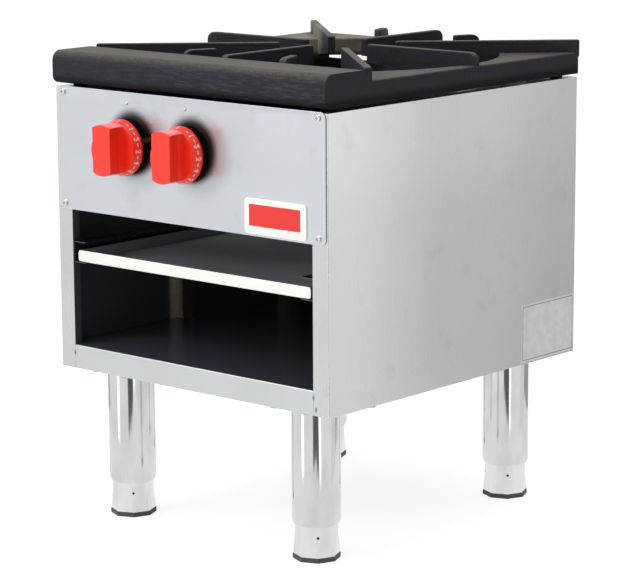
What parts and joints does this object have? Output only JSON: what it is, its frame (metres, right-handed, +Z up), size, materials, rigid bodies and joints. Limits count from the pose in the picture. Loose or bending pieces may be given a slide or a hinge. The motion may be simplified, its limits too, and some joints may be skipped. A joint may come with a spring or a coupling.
{
  "type": "stock pot range",
  "caption": "Low gas range for one large pot: square steel cabinet with an open bay, cast-iron top over ring burners, knobs, pull-out crumb tray and tube legs.",
  "frame": {"origin": "on the floor, under the middle of the overall box with the knobs and the gas inlet", "axes": "+Z up, -Y out of the front with the knobs, +X to the right as seen from the front"},
  "size_m": [0.4573, 0.572, 0.607],
  "materials": {
    "side_steel": "brushed stainless, vertical grain",
    "panel_steel": "brushed stainless, horizontal grain",
    "shelf_steel": "brushed stainless",
    "inner_steel": "mill-finish galvanised sheet, sooty inside",
    "tray_steel": "brushed stainless with a bright lip",
    "plate_silver": "satin",
    "plate_red": "satin red",
    "label_foil": "matt foil",
    "black_iron": "black enamelled cast iron",
    "burner_iron": "raw cast iron",
    "knob_red": "red heat-resistant plastic",
    "brass": "turned brass",
    "pipe_black": "black pipe",
    "leg_chrome": "polished plating",
    "foot_metal": "satin die-casting",
    "pad_grey": "dark grey",
    "zinc": "zinc-plated fasteners",
    "stem_steel": "turned steel"
  },
  "bodies": {
    "cabinet": {"left_side_panel": "side_steel", "right_side_panel": "side_steel", "back_panel": "inner_steel", "back_rivets": "zinc", "bottom_shelf": "shelf_steel", "front_crossbar": "inner_steel", "control_panel": "panel_steel", "panel_screws": "zinc", "index_rivets": "zinc", "name_plate": "plate_silver", "name_plate_inlay": "plate_red", "rating_plate": "label_foil", "left_tray_runner": "inner_steel", "right_tray_runner": "inner_steel", "left_runner_straps": "inner_steel", "right_runner_straps": "inner_steel", "front_burner_bar": "inner_steel", "rear_burner_bar": "inner_steel", "heat_baffle": "inner_steel", "outer_burner": "burner_iron", "inner_burner": "burner_iron", "left_gas_valve": "brass", "right_gas_valve": "brass", "orifice_hoods": "brass", "manifold_pipe": "pipe_black", "manifold_plug": "pipe_black", "manifold_elbow": "pipe_black", "supply_pipe": "pipe_black", "inlet_coupling": "pipe_black", "gas_inlet_nipple": "pipe_black", "manifold_brackets": "inner_steel", "manifold_clamps": "zinc", "pilot_valve": "brass", "pilot_tube": "brass", "pilot_bracket": "inner_steel", "pilot_burner": "brass", "leg_nut_plates": "zinc", "leg_bolts": "zinc", "front_left_leg": "leg_chrome", "front_right_leg": "leg_chrome", "rear_left_leg": "leg_chrome", "rear_right_leg": "leg_chrome"},
    "left_knob": {"left_knob": "knob_red", "left_knob_stem": "stem_steel"},
    "right_knob": {"right_knob": "knob_red", "right_knob_stem": "stem_steel"},
    "crumb_tray": {"crumb_tray": "tray_steel"},
    "cast_top": {"cast_top": "black_iron"},
    "left_air_shutter": {"left_air_shutter": "inner_steel"},
    "right_air_shutter": {"right_air_shutter": "inner_steel"},
    "front_left_foot": {"front_left_foot": "foot_metal", "front_left_foot_pad": "pad_grey"},
    "front_right_foot": {"front_right_foot": "foot_metal", "front_right_foot_pad": "pad_grey"},
    "rear_left_foot": {"rear_left_foot": "foot_metal", "rear_left_foot_pad": "pad_grey"},
    "rear_right_foot": {"rear_right_foot": "foot_metal", "rear_right_foot_pad": "pad_grey"}
  },
  "joints": [
    {"name": "left_knob_turn", "type": "hinge", "parent": "cabinet", "child": "left_knob", "pos_m": [-0.1014, -0.24, 0.4918], "axis": [0, -1, 0], "range_deg": [0, 180]},
    {"name": "left_air_shutter_turn", "type": "hinge", "parent": "cabinet", "child": "left_air_shutter", "pos_m": [-0.1014, -0.179, 0.4918], "axis": [0, 1, 0], "range_deg": [0, 45]},
    {"name": "right_knob_turn", "type": "hinge", "parent": "cabinet", "child": "right_knob", "pos_m": [0.0008, -0.24, 0.4918], "axis": [0, -1, 0], "range_deg": [0, 180]},
    {"name": "right_air_shutter_turn", "type": "hinge", "parent": "cabinet", "child": "right_air_shutter", "pos_m": [0.0008, -0.179, 0.4918], "axis": [0, 1, 0], "range_deg": [0, 45]},
    {"name": "crumb_tray_slide", "type": "slide", "parent": "cabinet", "child": "crumb_tray", "axis": [0, -1, 0], "range_m": [0, 0.38]},
    {"name": "cast_top_lift", "type": "slide", "parent": "cabinet", "child": "cast_top", "axis": [0, 0, 1], "range_m": [0, 0.15]},
    {"name": "front_left_foot_adjust", "type": "slide", "parent": "cabinet", "child": "front_left_foot", "axis": [0, 0, -1], "range_m": [0, 0.03]},
    {"name": "front_right_foot_adjust", "type": "slide", "parent": "cabinet", "child": "front_right_foot", "axis": [0, 0, -1], "range_m": [0, 0.03]},
    {"name": "rear_left_foot_adjust", "type": "slide", "parent": "cabinet", "child": "rear_left_foot", "axis": [0, 0, -1], "range_m": [0, 0.03]},
    {"name": "rear_right_foot_adjust", "type": "slide", "parent": "cabinet", "child": "rear_right_foot", "axis": [0, 0, -1], "range_m": [0, 0.03]}
  ]
}
